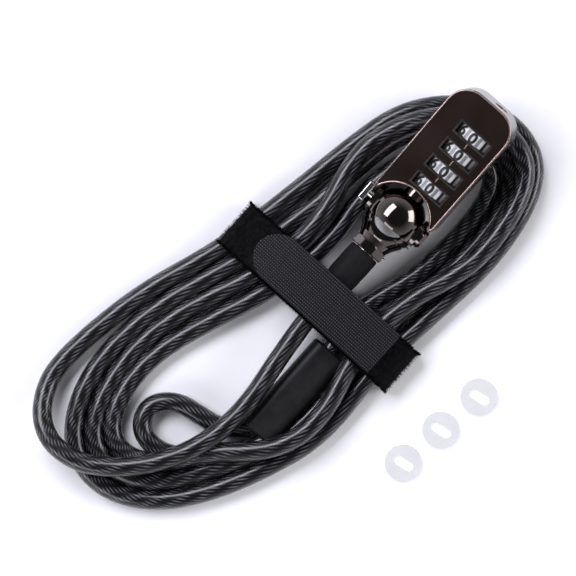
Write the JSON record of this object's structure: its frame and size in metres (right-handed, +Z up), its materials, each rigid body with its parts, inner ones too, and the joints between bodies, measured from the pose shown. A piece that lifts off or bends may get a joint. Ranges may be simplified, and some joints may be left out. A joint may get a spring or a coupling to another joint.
{
  "type": "laptop cable lock",
  "caption": "Combination laptop lock with a pivoting T-bar nose on a coiled steel cable, tied with a hook-and-loop strap.",
  "frame": {"origin": "under the middle of the strap, on the surface that the lock lies on", "axes": "+X from the strap towards the lock head, +Z up"},
  "size_m": [0.1836, 0.1108, 0.0281],
  "materials": {
    "cable_jacket": "smoky clear PVC over steel strand",
    "loop_pile": "fuzzy loop pile",
    "woven_strap": "woven hook tape",
    "boot_rubber": "matte",
    "sleeve_black": "satin black shrink sleeve",
    "gunmetal": "polished gunmetal plating",
    "black_chrome": "polished black nickel",
    "chrome": "polished",
    "steel": "satin",
    "brass": "machined",
    "dial_white": "white with black numbers",
    "clear_plastic": "translucent"
  },
  "bodies": {
    "cable": {"strap_band": "loop_pile", "strap_tongue": "woven_strap", "boot": "boot_rubber", "ferrule": "steel", "cable_lead": "cable_jacket", "cable_coil": "cable_jacket", "eye_loop": "cable_jacket", "eye_sleeve": "sleeve_black"},
    "yoke": {"yoke": "black_chrome", "collar": "black_chrome", "collar_pin": "steel"},
    "head": {"case_body": "gunmetal", "case_cover": "gunmetal", "case_screws": "steel", "ball_knuckle": "black_chrome", "nose_barrel": "black_chrome", "barrel_cap": "black_chrome", "detent_leaf": "steel", "spindle_spring": "steel"},
    "t_bar": {"t_bar": "chrome", "locking_shaft": "steel"},
    "spindle": {"spindle": "brass", "cam_follower": "steel"},
    "reset": {"reset_plunger": "steel"},
    "dial_1": {"dial_1": "dial_white", "clutch_1": "brass"},
    "dial_2": {"dial_2": "dial_white", "clutch_2": "brass"},
    "dial_3": {"dial_3": "dial_white", "clutch_3": "brass"},
    "dial_4": {"dial_4": "dial_white", "clutch_4": "brass"},
    "washer_1": {"washer_1": "clear_plastic"},
    "washer_2": {"washer_2": "clear_plastic"},
    "washer_3": {"washer_3": "clear_plastic"}
  },
  "joints": [
    {"name": "cable_swivel", "type": "hinge", "parent": "cable", "child": "yoke", "pos_m": [0.034, 0, 0.011], "axis": [1, 0, 0], "range_deg": [-4, 5]},
    {"name": "nose_pivot", "type": "hinge", "parent": "yoke", "child": "head", "pos_m": [0.034, 0, 0.011], "axis": [0, -0.9962, 0.0872], "range_deg": [0, 80]},
    {"name": "t_bar_turn", "type": "hinge", "parent": "head", "child": "t_bar", "pos_m": [0.034, 0, 0.011], "axis": [0, 0.9962, -0.0872], "range_deg": [0, 90]},
    {"name": "dial_1_spin", "type": "hinge", "parent": "head", "child": "dial_1", "pos_m": [0.04783, -0.00204, 0.01402], "axis": [0.9703, 0.0211, 0.241], "continuous": true},
    {"name": "dial_2_spin", "type": "hinge", "parent": "head", "child": "dial_2", "pos_m": [0.05423, -0.00191, 0.01561], "axis": [0.9703, 0.0211, 0.241], "continuous": true},
    {"name": "dial_3_spin", "type": "hinge", "parent": "head", "child": "dial_3", "pos_m": [0.06063, -0.00177, 0.0172], "axis": [0.9703, 0.0211, 0.241], "continuous": true},
    {"name": "dial_4_spin", "type": "hinge", "parent": "head", "child": "dial_4", "pos_m": [0.06704, -0.00163, 0.01879], "axis": [0.9703, 0.0211, 0.241], "continuous": true},
    {"name": "spindle_slide", "type": "slide", "parent": "head", "child": "spindle", "axis": [0.9703, 0.0211, 0.241], "range_m": [0, 0.001], "deforming": ["spindle_spring"]},
    {"name": "reset_push", "type": "slide", "parent": "head", "child": "reset", "axis": [-0.9703, -0.0211, -0.241], "range_m": [0, 0.0008], "stiffness_N_per_m": 400, "springref_m": -0.0005},
    {"name": "washer_1_lift", "type": "slide", "parent": "cable", "child": "washer_1", "axis": [0, 0, 1], "range_m": [0, 0.02]},
    {"name": "washer_2_lift", "type": "slide", "parent": "cable", "child": "washer_2", "axis": [0, 0, 1], "range_m": [0, 0.02]},
    {"name": "washer_3_lift", "type": "slide", "parent": "cable", "child": "washer_3", "axis": [0, 0, 1], "range_m": [0, 0.02]}
  ],
  "couplings": [
    {"joint": "spindle_slide", "follows": "t_bar_turn", "m_per_rad": 0.0006}
  ]
}
